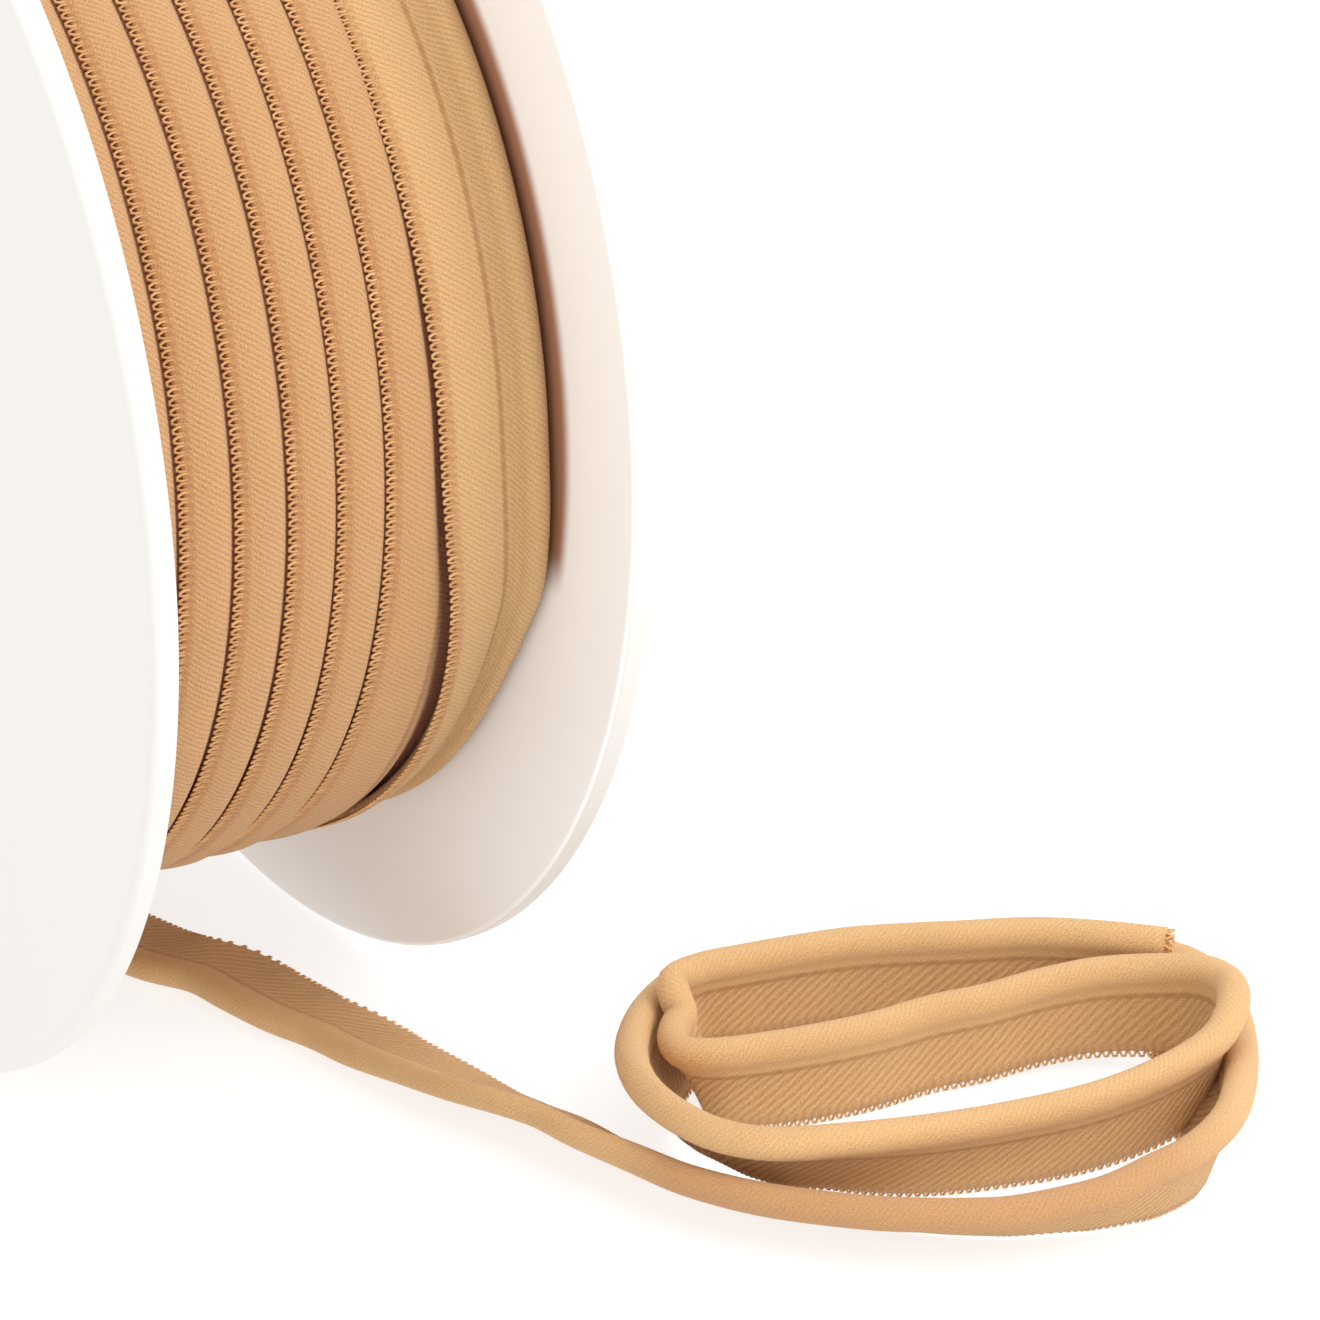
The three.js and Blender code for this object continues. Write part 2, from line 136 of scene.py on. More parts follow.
# x, y, lift over the floor, lean and facing of the rest
FLOOR_ROUTE = np.array([
    (14, 40, 0, 79, 5), (14.5, 27, 0, 82, 6), (17, 13, 0, 86, 12), (20, 0, 0, 88, 18),
    (23.1, -9.8, 0, 88, 30),
    (26.0, -14.8, 0, 88, 22),
    (26.9, -19.2, 0, 87.5, 12),
    (28.3, -25.1, 0, 86, 17),
    (30.1, -29.9, 0, 83, 15),
    (31.0, -35.3, 0, 80, 11),
    (32.4, -41.8, 0, 74, 12),
    (33.8, -48.4, 0, 67, 15),
    (35.7, -53.9, 0, 62, 20),
    (37.2, -57.7, 0, 61, 16),
    (38.2, -62.5, 0, 60, 14),
    (40.1, -68.7, 0, 59, 17),
    (41.7, -74.1, 0, 58, 19),
    (43.1, -77.3, 0, 57, 26),
    (44.7, -80.2, 0, 56, 31),
    (46.4, -82.7, 0, 55, 38),
    (49.3, -86.2, 0, 53.5, 41),
    (52.2, -89.4, 0, 51.5, 46),
    (55.4, -92.2, 0, 49.5, 51),
    (58.2, -94.3, 0, 48, 55),
    (61.0, -96.1, 0, 46, 63),
    (65.1, -97.7, 0, 42, 71),
    (69.4, -98.9, 0, 36, 83),
    (74.5, -98.9, 0, 27, 92),
    (77.8, -98.6, 0, 23, 102),
    (81.4, -97.4, 0, 19, 114),
    (84.4, -95.7, 0, 17, 127),
    (87.6, -92.8, 0, 24, 137),
    (92.3, -87.3, 0, 42, 141),
    (97.0, -81.1, 0, 57, 146),
    (100.7, -75.1, 0, 63, 155),
    (102.2, -70.2, 0, 58, 172),
    (101.4, -66.1, 0, 54, 213),
    (97.4, -62.3, 0, 50, 232),
    (91.6, -57.7, 0, 48, 233),
    (85.5, -53.4, 0, 48, 237),
    (79.1, -49.8, 0, 48, 247),
    (71.8, -47.5, 0, 46, 257),
    (65.9, -46.4, 0, 43, 262),
    (60.8, -46.4, 0, 42, 284),
    (55.0, -49.6, 0.2, 36, 308),
    (49.7, -54.4, 0.5, 30, 317),
    (45.8, -59.7, 1.1, 30, 330),
    (43.6, -65.3, 1.7, 34, 346),
    (43.2, -70.8, 2.2, 38, 363),
    (44.3, -76.0, 2.3, 38, 383),
    (47.1, -80.1, 2.3, 35, 409),
    (53.1, -83.3, 2, 29, 431),
    (60.4, -85.2, 1, 19, 440),
    (68.2, -86.5, 0.4, 14, 441),
    (76.2, -87.6, 0.3, 10, 447),
    (82.1, -87.7, 0.6, 8, 455),
    (87.0, -87.2, 1.1, 8, 460),
    (90.6, -86.1, 1.7, 11, 473),
    (93.6, -84.0, 2.7, 16, 496),
    (95.9, -80.4, 2.9, 19, 530),
    (95.5, -77.4, 2.7, 15, 565),
    (93.2, -73.9, 1.8, 8, 586),
    (88.6, -70.6, 1.2, 3, 603),
    (83.6, -69.0, 0.8, 0, 619),
    (78.2, -68.1, 0.4, 0, 618),
    (73.1, -66.8, 0.1, 0, 621),
    (67.7, -66.5, 0, 0, 625),
    (62.8, -65.8, 0, 0, 618),
    (57.5, -64.6, 0, -2, 616),
    (52.5, -63.0, 0.1, -10, 601),
    (50.6, -61.1, 0.2, -20, 545),
    (50.8, -58.9, 0.3, -24, 515),
    (52.0, -57.1, 0.5, -24, 494),
    (53.5, -55.8, 0.9, -22, 507),
    (53.8, -54.3, 1.6, -16, 487),
    (54.6, -52.8, 2.1, -8, 458),
    (57.7, -52.3, 2.2, 0, 447),
    (62.0, -53.0, 2.2, 0, 445),
    (66.4, -54.1, 2.3, 0, 437),
    (71.6, -55.7, 2.4, 0, 429),
    (75.9, -57.6, 2.4, 0, 423),
    (80.7, -60.2, 2.5, 0, 423),
    (86.5, -63.1, 2.5, 0, 420),
    (91.5, -67.0, 2.5, 0, 407),
    (95.7, -71.2, 2.5, 0, 403),
])


def to_world(points):
    """Places in the reel's frame, in millimetres, as places in the model, in metres."""
    return (np.asarray(points) + ORIGIN) * MM


def smooth_step(value, low, high):
    """0 below low, 1 above high, and the cubic 3t^2 - 2t^3 between them."""
    t = np.clip((value - low) / (high - low), 0, 1)
    return t * t * (3 - 2 * t)


def edge_at(turn):
    """Place along the axis of a turn's selvage: the table between its rows, straight on outside it."""
    rows = FIRST_TURN + np.arange(len(TURN_EDGES))
    inside = np.interp(turn, rows, TURN_EDGES)
    return inside + TURN_PITCH * (np.minimum(turn - rows[0], 0) + np.maximum(turn - rows[-1], 0))


def make_mesh(name, points, faces, uv=None, shade=None):
    """A smooth mesh object from points in millimetres, faces, a UV pair for each face corner
    and a shade from 0 to 1 for each point."""
    mesh = bpy.data.meshes.new(name)
    mesh.from_pydata(to_world(points), [], faces)
    if uv is not None:
        mesh.uv_layers.new(name="cloth").data.foreach_set("uv", uv.astype(np.float32).ravel())
    if shade is not None:
        values = mesh.attributes.new("shade", "FLOAT", "POINT").data
        values.foreach_set("value", shade.astype(np.float32).ravel())
    mesh.polygons.foreach_set("use_smooth", np.ones(len(mesh.polygons), dtype=bool))
    mesh.update()
    piece = bpy.data.objects.new(name, mesh)
    bpy.context.scene.collection.objects.link(piece)
    return piece


def grid_faces(rows, columns, close_rows=False, close_columns=False):
    """Quads between the points of a grid stored row by row; a closed way joins its last to its first."""
    r = np.arange(rows if close_rows else rows - 1)[:, None]
    c = np.arange(columns if close_columns else columns - 1)[None, :]
    r2, c2 = (r + 1) % rows, (c + 1) % columns
    quads = np.stack([r * columns + c, r * columns + c2, r2 * columns + c2, r2 * columns + c], -1)
    return quads.reshape(-1, 4)


def about_axis(x, radius, angle):
    """Places about the reel's axis, by x, radius and angle from the front over the top:
    (x, -r cos a, axis + r sin a)."""
    x, radius, angle = np.broadcast_arrays(x, radius, angle)
    return np.stack([x, -radius * np.cos(angle), AXIS_HEIGHT + radius * np.sin(angle)], -1)


def lathe_x(profile, segments):
    """Points and faces of a closed profile of x and radius, turned about the reel's axis."""
    angle = np.linspace(0, 2 * np.pi, segments, endpoint=False)[:, None]
    points = about_axis(profile[None, :, 0], profile[None, :, 1], angle)
    return points.reshape(-1, 3), grid_faces(segments, len(profile), True, True)


def arc(centre, radius, start, end, count):
    """Points of a circle's arc in the (x, r) plane, angles in degrees."""
    a = np.radians(np.linspace(start, end, count))
    return np.stack([centre[0] + radius * np.cos(a), centre[1] + radius * np.sin(a)], -1)


def hermite(p1, m1, p2, m2, t):
    """The cubic through p1 and p2 with slopes m1 and m2, at t from 0 to 1."""
    return (
        p1 * (2 * t**3 - 3 * t**2 + 1) + m1 * (t**3 - 2 * t**2 + t)
        + p2 * (3 * t**2 - 2 * t**3) + m2 * (t**3 - t**2)
    )


def through_points(points, at, centripetal=True):
    """A Catmull-Rom curve at whole and part rows of a table. The centripetal kind spaces its
    knots by the root of the distance, so that it neither overshoots nor loops."""
    ends = np.vstack([2 * points[:1] - points[1:2], points, 2 * points[-1:] - points[-2:-1]])
    k = np.clip(np.floor(at).astype(int), 0, len(points) - 2)
    t = (at - k)[:, None]
    p0, p1, p2, p3 = (ends[k + i] for i in range(4))
    if not centripetal:
        return hermite(p1, (p2 - p0) / 2, p2, (p3 - p1) / 2, t)
    spans = (p1 - p0, p2 - p1, p3 - p2)
    d0, d1, d2 = (np.sqrt(np.linalg.norm(span, axis=1))[:, None] for span in spans)
    m1 = ((p1 - p0) / d0 - (p2 - p0) / (d0 + d1) + (p2 - p1) / d1) * d1
    m2 = ((p2 - p1) / d1 - (p3 - p1) / (d1 + d2) + (p3 - p2) / d2) * d1
    return hermite(p1, m1, p2, m2, t)


def unit(vectors):
    """Each vector divided by its length."""
    return vectors / np.linalg.norm(vectors, axis=-1, keepdims=True)


def walked(points):
    """Distance walked along a row of points, from its first."""
    return np.concatenate([[0], np.cumsum(np.linalg.norm(np.diff(points, axis=0), axis=1))])


def rows_at(values, places):
    """Rows of a table of vectors at whole and part rows, straight between them."""
    return np.column_stack([np.interp(places, np.arange(len(values)), column) for column in values.T])


def loose_path(trim, step):
    """Centre of the cord, direction along the tape, direction of its flat and normal, evenly
    spaced. The flat points down turned by lean towards facing, made square to the path."""
    reach = trim.width / MM - trim.cord_radius / MM
    lean = np.radians(FLOOR_ROUTE[:, 3])
    standing = reach * np.cos(lean) + trim.thickness / MM / 2 * np.abs(np.sin(lean))
    height = FLOOR_ROUTE[:, 2] + FLOOR_GAP + np.maximum(standing, trim.cord_radius / MM)
    floor_rows = np.column_stack([FLOOR_ROUTE[:, :2], height, FLOOR_ROUTE[:, 3:]])
    table = np.vstack([DROP_ROUTE, floor_rows])
    fine = np.linspace(0, len(table) - 1, FINE_STEPS)
    walk = walked(through_points(table[:, :3], fine))
    count = int(round(walk[-1] / step)) + 1
    at = np.interp(np.linspace(0, walk[-1], count), walk, fine)
    centre = through_points(table[:, :3], at)
    along = unit(np.gradient(centre, axis=0))
    turned = np.radians(through_points(table[:, 3:], at, centripetal=False))
    flat = np.stack([
        np.sin(turned[:, 0]) * np.cos(turned[:, 1]),
        np.sin(turned[:, 0]) * np.sin(turned[:, 1]),
        -np.cos(turned[:, 0]),
    ], -1)
    flat = unit(flat - along * np.sum(flat * along, axis=1, keepdims=True))
    return centre, along, flat, np.cross(along, flat), walk[-1]


def tape_outline(trim):
    """The tape's section round from the selvage: flat, seam, cord, seam and flat again.
    Each row is the distance from the cord's centre towards the selvage, and the height."""
    cord, half = trim.cord_radius / MM, trim.thickness / MM / 2
    reach = (trim.width - trim.picot) / MM - cord + 0.1
    flat = np.concatenate([np.linspace(reach, cord + 1.6, 6), np.linspace(cord + 1.1, cord + 0.05, 4)])
    rise = np.column_stack([flat, half + 0.4 * (1 - smooth_step(flat, cord + 0.1, cord + 1.5))])
    rise[0, 1] = half * 0.5
    return np.vstack([rise, arc((0, 0), cord, SEAM_ANGLE, 360 - SEAM_ANGLE, 23), rise[::-1] * (1, -1)])


def cloth_width(outline):
    """Distance along the cloth from the outside of the cord, positive on the first side."""
    walk = walked(outline)
    return walk[-1] / 2 - walk


def swept_cloth(grid, walk, width, edge):
    """A closed tube of quads over a grid of points, with end caps. The UV is the distance along
    the tape and across the cloth, in millimetres, and doesn't jump where the section closes."""
    rows, columns = grid.shape[:2]
    quads = grid_faces(rows, columns, close_columns=True)
    uv = np.stack(np.broadcast_arrays(walk[:, None], width), -1).reshape(-1, 2)[quads]
    closing = np.arange(len(quads)) % columns == columns - 1
    uv[closing, 1, 1] = uv[closing, 0, 1] - edge
    uv[closing, 2, 1] = uv[closing, 3, 1] - edge
    last = (rows - 1) * columns
    first_cap, last_cap = np.arange(columns)[::-1], last + np.arange(columns)
    cap_uv = np.tile([0.0, 0.0], (2 * columns, 1))
    faces = quads.tolist() + [first_cap.tolist(), last_cap.tolist()]
    return grid.reshape(-1, 3), faces, np.vstack([uv.reshape(-1, 2), cap_uv])


def picot_loops(base, along, out, up, pitch_points, trim):
    """Small loops of thread along the selvage. Each is half an ellipse, out from the edge and
    back, with a three-sided section."""
    rows, sides = 6, 3
    t = np.linspace(-0.12, 1.12, rows) * np.pi
    reach, half = trim.picot / MM, trim.picot_pitch / MM * 0.36
    slope = unit(np.stack([-half * np.sin(t), reach * np.cos(t)], -1))
    turn = np.arange(sides) * 2 * np.pi / sides
    radius = trim.picot_thread / MM / 2
    side, lift = radius * np.cos(turn), radius * np.sin(turn)
    on_along = (half * np.cos(t))[:, None] + slope[:, 1:2] * side
    on_out = (reach * np.sin(t))[:, None] - slope[:, 0:1] * side
    points = (
        base[:, None, None]
        + along[:, None, None] * on_along[..., None]
        + out[:, None, None] * on_out[..., None]
        + up[:, None, None] * lift[:, None]
    )
    quads = grid_faces(rows, sides, close_columns=True)
    first_cap = np.arange(sides)
    caps = np.stack([first_cap[::-1], (rows - 1) * sides + first_cap])
    shift = (np.arange(len(base)) * rows * sides)[:, None, None]
    faces = (quads + shift).reshape(-1, 4).tolist() + (caps + shift).reshape(-1, sides).tolist()
    thread = np.stack([pitch_points, np.full(len(base), PICOT_ACROSS)], -1)
    uv = np.vstack([np.repeat(thread, quads.size, axis=0), np.repeat(thread, caps.size, axis=0)])
    return points.reshape(-1, 3), faces, uv


def frayed_end(centre, along, flat, normal, trim):
    """Short loops of yarn that stand out of the cord's cut end, on a spiral about its centre."""
    count = 16
    angle = (np.arange(count) * 2.4)[:, None]
    ring = trim.cord_radius / MM * 0.85 * np.sqrt((np.arange(count)[:, None] + 0.5) / count)
    spoke = flat * np.cos(angle) + normal * np.sin(angle)
    tangent = normal * np.cos(angle) - flat * np.sin(angle)
    out = unit(along + spoke * 0.35)
    base = centre + spoke * ring - along * 0.1
    return picot_loops(base, tangent, out, np.cross(tangent, out), angle[:, 0], trim)


def join_parts(parts):
    """Several (points, faces, uv) as one, with the later faces' numbers moved on."""
    joined = []
    start = 0
    for points, faces, _ in parts:
        joined += [[index + start for index in face] for face in faces]
        start += len(points)
    return np.vstack([part[0] for part in parts]), joined, np.vstack([part[2] for part in parts])


class Wire:
    """A shader socket that takes part in Python arithmetic. Each step adds a Math node."""

    def __init__(self, finish, socket):
        self.finish, self.socket = finish, socket

    def math(self, operation, *others):
        return self.finish.node("ShaderNodeMath", {"operation": operation}, dict(enumerate((self, *others))))

    def __add__(self, other):
        return self.math("ADD", other)

    def __sub__(self, other):
        return self.math("SUBTRACT", other)

    def __mul__(self, other):
        return self.math("MULTIPLY", other)

    def __truediv__(self, other):
        return self.math("DIVIDE", other)

    def __radd__(self, other):
        return self.math("ADD", other)

    def __rmul__(self, other):
        return self.math("MULTIPLY", other)

    def __rsub__(self, other):
        return self.finish.node("ShaderNodeMath", {"operation": "SUBTRACT"}, {0: other, 1: self})

    def __rtruediv__(self, other):
        return self.finish.node("ShaderNodeMath", {"operation": "DIVIDE"}, {0: other, 1: self})

    def wave(self, turns=1.0):
        """A sine wave from 0 to 1 and back, repeated so many times for each unit."""
        return (self * (2 * math.pi * turns)).math("SINE") * 0.5 + 0.5

    def between(self, low, high):
        """0 below low and 1 above high, smoothly."""
        return self.finish.node(
            "ShaderNodeMapRange", {"interpolation_type": "SMOOTHSTEP"},
            {"Value": self, "From Min": low, "From Max": high},
        )


class Finish:
    """A material being made: a tree with a Principled shader, and one way to add any node."""

    def __init__(self, name):
        self.material = bpy.data.materials.new(name)
        self.material.use_nodes = True
        self.tree = self.material.node_tree
        self.shader = self.tree.nodes["Principled BSDF"]

    def fill(self, node, values):
        """Links or sets the sockets of a node."""
        for key, value in values.items():
            if isinstance(value, Wire):
                self.tree.links.new(value.socket, node.inputs[key])
            else:
                node.inputs[key].default_value = value

    def node(self, kind, settings=None, values=None, output=0):
        """Adds a node, gives it its settings, then the values or links of its sockets."""
        node = self.tree.nodes.new(kind)
        for key, value in (settings or {}).items():
            setattr(node, key, value)
        self.fill(node, values or {})
        return Wire(self, node.outputs[output])

    def noise(self, place, scale, detail=2.0, roughness=0.5):
        """Noise from 0 to 1 about 0.5, with so many grains for each unit."""
        return self.node(
            "ShaderNodeTexNoise",
            values={"Vector": place, "Scale": scale, "Detail": detail, "Roughness": roughness},
        )

    def split(self, vector):
        """The three parts of a vector as wires."""
        first = self.node("ShaderNodeSeparateXYZ", values={0: vector})
        return [Wire(self, socket) for socket in first.socket.node.outputs]

    def mix(self, part, low, high):
        """A colour between two, which are colours or wires, by a part from 0 to 1."""
        low, high = (value if isinstance(value, Wire) else (*value, 1) for value in (low, high))
        return self.node("ShaderNodeMix", {"data_type": "RGBA"}, {0: part, 6: low, 7: high}, output=2)

    def surface(self, **values):
        """Links or sets the Principled shader's sockets; underscores stand for spaces."""
        self.fill(self.shader, {key.replace("_", " "): value for key, value in values.items()})
        return self.material


def linear(red, green, blue):
    """A colour given as it looks on screen, 0 to 255, as the linear values that a shader takes."""
    c = np.array([red, green, blue]) / 255
    return tuple(float(x) for x in np.where(c <= 0.04045, c / 12.92, ((c + 0.055) / 1.055) ** 2.4))


def cloth_finish(trim, name, ribs):
    """Cotton twill: coarse slanting ribs by a part from 0 to 1 over finer ones, a stitched seam
    beside the cord and a looped selvage, with painted shade from the shade attribute and in the
    seam's groove, and painted light that makes the ribbed cloth lighter. UV is millimetres along
    the tape and across the cloth from the cord's outside."""
    finish = Finish(name)
    place = finish.node("ShaderNodeUVMap", {"uv_map": "cloth"})
    along, across, _ = finish.split(place)
    side = across.math("ABSOLUTE")
    shade = finish.node("ShaderNodeAttribute", {"attribute_name": "shade"}, output=2)
    grain = finish.noise(place, 3.5, 3.0, 0.65)
    fuzz = finish.noise(place, 7.0, 2.0, 0.6).between(0.3, 0.7)
    broad = finish.noise(place, 0.15)
    drift = finish.noise(place, 0.5, 1.0) - 0.5
    twist = drift * 0.35 + grain * 0.3
    # painted light: the ribbed cloth of the coil is made up to 3.5% lighter than the wound cloth of the same
    # trim
    tone = 1 + 0.035 * ribs
    coarse = (along * -0.895 + across * 1.03 + twist).wave()
    fine = (along * -1.81 + across * 1.335 + twist).wave()
    on_flat = side.between(4.4, 5.4)
    on_selvage = side.between(9.3, 9.8)
    seam = side.between(4.3, 4.75) * (1 - side.between(4.85, 5.3))
    stitch = seam * ((along * 0.55).wave() * 0.5 + 0.5)
    loop = (along * (1 / (trim.picot_pitch / MM)) + drift * 0.4).wave() * on_selvage
    ribbed = on_flat * (1 - on_selvage) * ribs
    height = (
        coarse * ribbed + fine * (1 - on_selvage) * (0.6 - 0.35 * ribs)
        + grain * 0.3 + fuzz * 0.6 - stitch * 0.8 - loop * 0.6
    )
    # the seam term of valley is painted shade in the groove beside the cord
    valley = (
        (1 - coarse) * ribbed * 0.45 + (1 - fine) * (0.28 - 0.13 * ribs)
        + (1 - fuzz) * 0.55 + loop * 0.4 + stitch * 0.6 + seam * 0.2
    )
    light = trim_colour(trim, 1.06 * tone, 1.06 * tone, 1.06 * tone)
    dark = trim_colour(trim, 0.84 * tone, 0.74 * tone, 0.62 * tone)
    painted_shade_colour = trim_colour(trim, 0.74, 0.46, 0.33)
    warm = trim_colour(trim, 0.93, 0.8, 0.68)
    colour = finish.mix(valley.math("MINIMUM", 1.0), light, dark)
    colour = finish.mix(broad.between(0.25, 0.75) * 0.1, colour, light)
    colour = finish.mix(on_selvage * 0.3, colour, warm)
    # painted shade: the shade attribute darkens the cloth towards a deep red-brown
    colour = finish.mix(shade * 0.9, colour, painted_shade_colour)
    bump = finish.node("ShaderNodeBump", values={"Strength": 1.0, "Distance": 0.00012, "Height": height})
    return finish.surface(
        Base_Color=colour, Roughness=0.9, Sheen_Weight=0.12, Sheen_Roughness=0.6, Normal=bump,
    )


def trim_colour(trim, red, green, blue):
    """The trim's colour with each part made lighter or darker, as linear values."""
    return linear(*(min(255.0, 255 * part * gain) for part, gain in zip(trim.colour, (red, green, blue))))


def plastic_finish(reel):
    """White moulded plastic, satin, with a faint grain. The inner face of the far flange is painted
    whiter as painted light, with a soft painted brown shadow and reflection beside the wound cord that all
    but touches it."""
    finish = Finish("white_satin_plastic")
    place = finish.node("ShaderNodeTexCoord", output=3)
    grain = finish.noise(place, 900.0)
    broad = finish.noise(place, 25.0)
    x, y, z = finish.split(place)
    up = z - AXIS_HEIGHT * MM
    radius = ((y - ORIGIN[1] * MM).math("POWER", 2.0) + up.math("POWER", 2.0)).math("SQRT")
    face = (ORIGIN[0] + FLANGE_SPACING) * MM
    before, after = (x.between(face + low * MM, face + high * MM) for low, high in ((-0.3, -0.1), (0.1, 0.3)))
    inside = before * (1 - after)
    # painted shadow: a soft brown ring beside the wound cord, a painted shadow with the cloth's painted
    # reflection in it
    ring = (1 - radius.between(53.4 * MM, 55.2 * MM)) * up.between(-14 * MM, -9 * MM) * inside
    base = tuple(reel.colour)
    colour = finish.mix(broad, tuple(part * 0.985 for part in base), base)
    # painted light: the far flange's inner face is given a whiter colour than the rest of the plastic
    colour = finish.mix(inside, colour, tuple(reel.inner_painted_light))
    colour = finish.mix(ring, colour, linear(168, 120, 92))
    bump = finish.node("ShaderNodeBump", values={"Strength": 0.12, "Distance": 0.00005, "Height": grain})
    return finish.surface(Base_Color=colour, Roughness=broad * 0.1 + 0.38, Normal=bump)


class ReelSettings(bpy.types.PropertyGroup):
    """The reel."""

    radius: bpy.props.FloatProperty(
        name="Flange radius", description="Outer radius of both flanges",
        default=65 * MM, unit="LENGTH", precision=4,
    )
    hub: bpy.props.FloatProperty(
        name="Hub radius", description="Outer radius of the hollow hub",
        default=22 * MM, unit="LENGTH", precision=4,
    )
    hub_wall: bpy.props.FloatProperty(
        name="Hub wall", description="Thickness of the hub's wall",
        default=2.5 * MM, unit="LENGTH", precision=4,
    )
    rounding: bpy.props.FloatProperty(
        name="Rim rounding", description="Radius of the rim's edges",
        default=0.9 * MM, unit="LENGTH", precision=4,
    )
    colour: bpy.props.FloatVectorProperty(
        name="Plastic", description="Colour of the plastic",
        default=(0.76, 0.735, 0.70), subtype="COLOR", min=0, max=1,
    )
    # painted light: a whiter colour for the far flange's inner face than for the rest of the plastic
    inner_painted_light: bpy.props.FloatVectorProperty(
        name="Inner face", description="Colour of the far flange's inner face",
        default=(0.97, 0.97, 0.96), subtype="COLOR", min=0, max=1,
    )


class TrimSettings(bpy.types.PropertyGroup):
    """The piping trim."""

    width: bpy.props.FloatProperty(
        name="Tape width", description="From the cord's outside to the selvage",
        default=10 * MM, unit="LENGTH", precision=4,
    )
    thickness: bpy.props.FloatProperty(
        name="Flat thickness", description="Thickness of the doubled cloth",
        default=0.85 * MM, unit="LENGTH", precision=5,
    )
    cord_radius: bpy.props.FloatProperty(
        name="Cord radius", description="Radius of the covered cord",
        default=1.5 * MM, unit="LENGTH", precision=5,
    )
    wound_radius: bpy.props.FloatProperty(
        name="Wound radius", description="Radius of the reel's cloth at each selvage",
        default=51 * MM, unit="LENGTH", precision=4,
    )
    picot: bpy.props.FloatProperty(
        name="Picot reach", description="How far the selvage loops stand out",
        default=0.75 * MM, unit="LENGTH", precision=5,
    )
    picot_pitch: bpy.props.FloatProperty(
        name="Picot pitch", description="Spacing of the selvage loops",
        default=0.8 * MM, unit="LENGTH", precision=5,
    )
    picot_thread: bpy.props.FloatProperty(
        name="Picot thread", description="Thickness of a loop's thread",
        default=0.3 * MM, unit="LENGTH", precision=5,
    )
    colour: bpy.props.FloatVectorProperty(
        name="Cloth", description="Colour of the cloth as it looks on screen",
        default=(0.875, 0.715, 0.5), subtype="COLOR_GAMMA", min=0, max=1,
    )


class StageSettings(bpy.types.PropertyGroup):
    """The camera and the light."""

    yaw: bpy.props.FloatProperty(
        name="Camera yaw", description="Turn of the view from straight along +Y",
        default=math.radians(32.28), subtype="ANGLE",
    )
    pitch: bpy.props.FloatProperty(
        name="Camera pitch", description="How far the view looks down",
        default=math.radians(25.61), subtype="ANGLE",
    )
    lens: bpy.props.FloatProperty(
        name="Lens", description="Focal length on a 36 mm sensor, in millimetres",
        default=168.17, subtype="NONE",
    )
    key: bpy.props.FloatProperty(
        name="Key light", description="Power of the main softbox",
        default=3.0, unit="POWER",
    )
    front: bpy.props.FloatProperty(
        name="Front light", description="Power of the softbox beside the camera",
        default=9.0, unit="POWER",
    )


class MESH_OT_piping_reel(bpy.types.Operator):
    """Both halves of the reel: a flange with a rounded rim and half of the hollow hub"""

    bl_idname = "mesh.piping_reel"
    bl_label = "Reel"

    def execute(self, context):
        reel = context.scene.piping_reel
        finish = plastic_finish(reel)
        rim, hub, round_by = reel.radius / MM, reel.hub / MM, reel.rounding / MM
        bore = hub - reel.hub_wall / MM
        inner_round, lip, fillet = round_by * 0.6, 0.4, 0.6
        middle = FLANGE_SPACING / 2
        for name, node, inner, outward in (
            ("near_flange", "reel_half_near", 0.0, -1.0),
            ("far_flange", "reel_half_far", FLANGE_SPACING, 1.0),
        ):
            outer = inner + outward * FLANGE_THICKNESS
            turn = 0 if outward > 0 else 180
            outside = arc((outer - outward * round_by, rim - round_by), round_by, turn, 90, 7)
            inside = arc((inner + outward * inner_round, rim - inner_round), inner_round, 90, 180 - turn, 5)
            hub_end = middle + outward * HALVES_GAP / 2
            bore_lip = arc((outer - outward * lip, bore + lip), lip, 270, 360 if outward > 0 else 180, 5)
            hub_root = [
                (inner, hub + fillet), (inner - outward * fillet * 0.3, hub + fillet * 0.3),
                (inner - outward * fillet, hub),
            ]
            profile = np.vstack([bore_lip, outside, inside, hub_root, [(hub_end, hub), (hub_end, bore)]])
            if outward > 0:
                profile = profile[::-1]
            piece = make_mesh(name, *lathe_x(profile, REEL_SEGMENTS))
            piece.data.materials.append(finish)
            piece.modifiers.new("crisp", "WEIGHTED_NORMAL")
            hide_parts(node)
            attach(piece, "root")
        return {"FINISHED"}


class MESH_OT_piping_wound(bpy.types.Operator):
    """The wound turns, each a strip of tape that overlaps the one before like a shingle"""

    bl_idname = "mesh.piping_wound"
    bl_label = "Wound turns"

    def execute(self, context):
        trim = context.scene.piping_trim
        finish = cloth_finish(trim, "wound_twill", 0.0)
        radius = trim.wound_radius / MM
        wound = make_mesh("wound_turns", *wound_strip(trim))
        wound.data.materials.append(finish)
        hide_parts("wound_trim")
        inner, outer, side, drop = CORE_BORE, radius - CORE_DEPTH, 0.4, 0.5
        low, high = SIDE_GAP, FLANGE_SPACING - SIDE_GAP
        points, faces = lathe_x(np.array([
            (high, inner), (high, outer - drop), (high - side, outer),
            (low + side, outer), (low, outer - drop), (low, inner),
        ]), CORE_SEGMENTS)
        angle = np.arctan2(points[:, 2] - AXIS_HEIGHT, -points[:, 1])
        uv = np.stack([angle * radius, points[:, 0] + 4], -1)[faces.ravel()]
        # the core carries painted shade of CORE_SHADE at every point
        core = make_mesh("wound_core", points, faces, uv, np.full(len(points), CORE_SHADE))
        core.data.materials.append(finish)
        points, faces, uv = wound_picots(trim)
        picots = make_mesh("wound_picots", points, faces, uv, np.zeros(len(points)))
        picots.data.materials.append(finish)
        for piece in (wound, core, picots):
            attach(piece, "root")
        return {"FINISHED"}


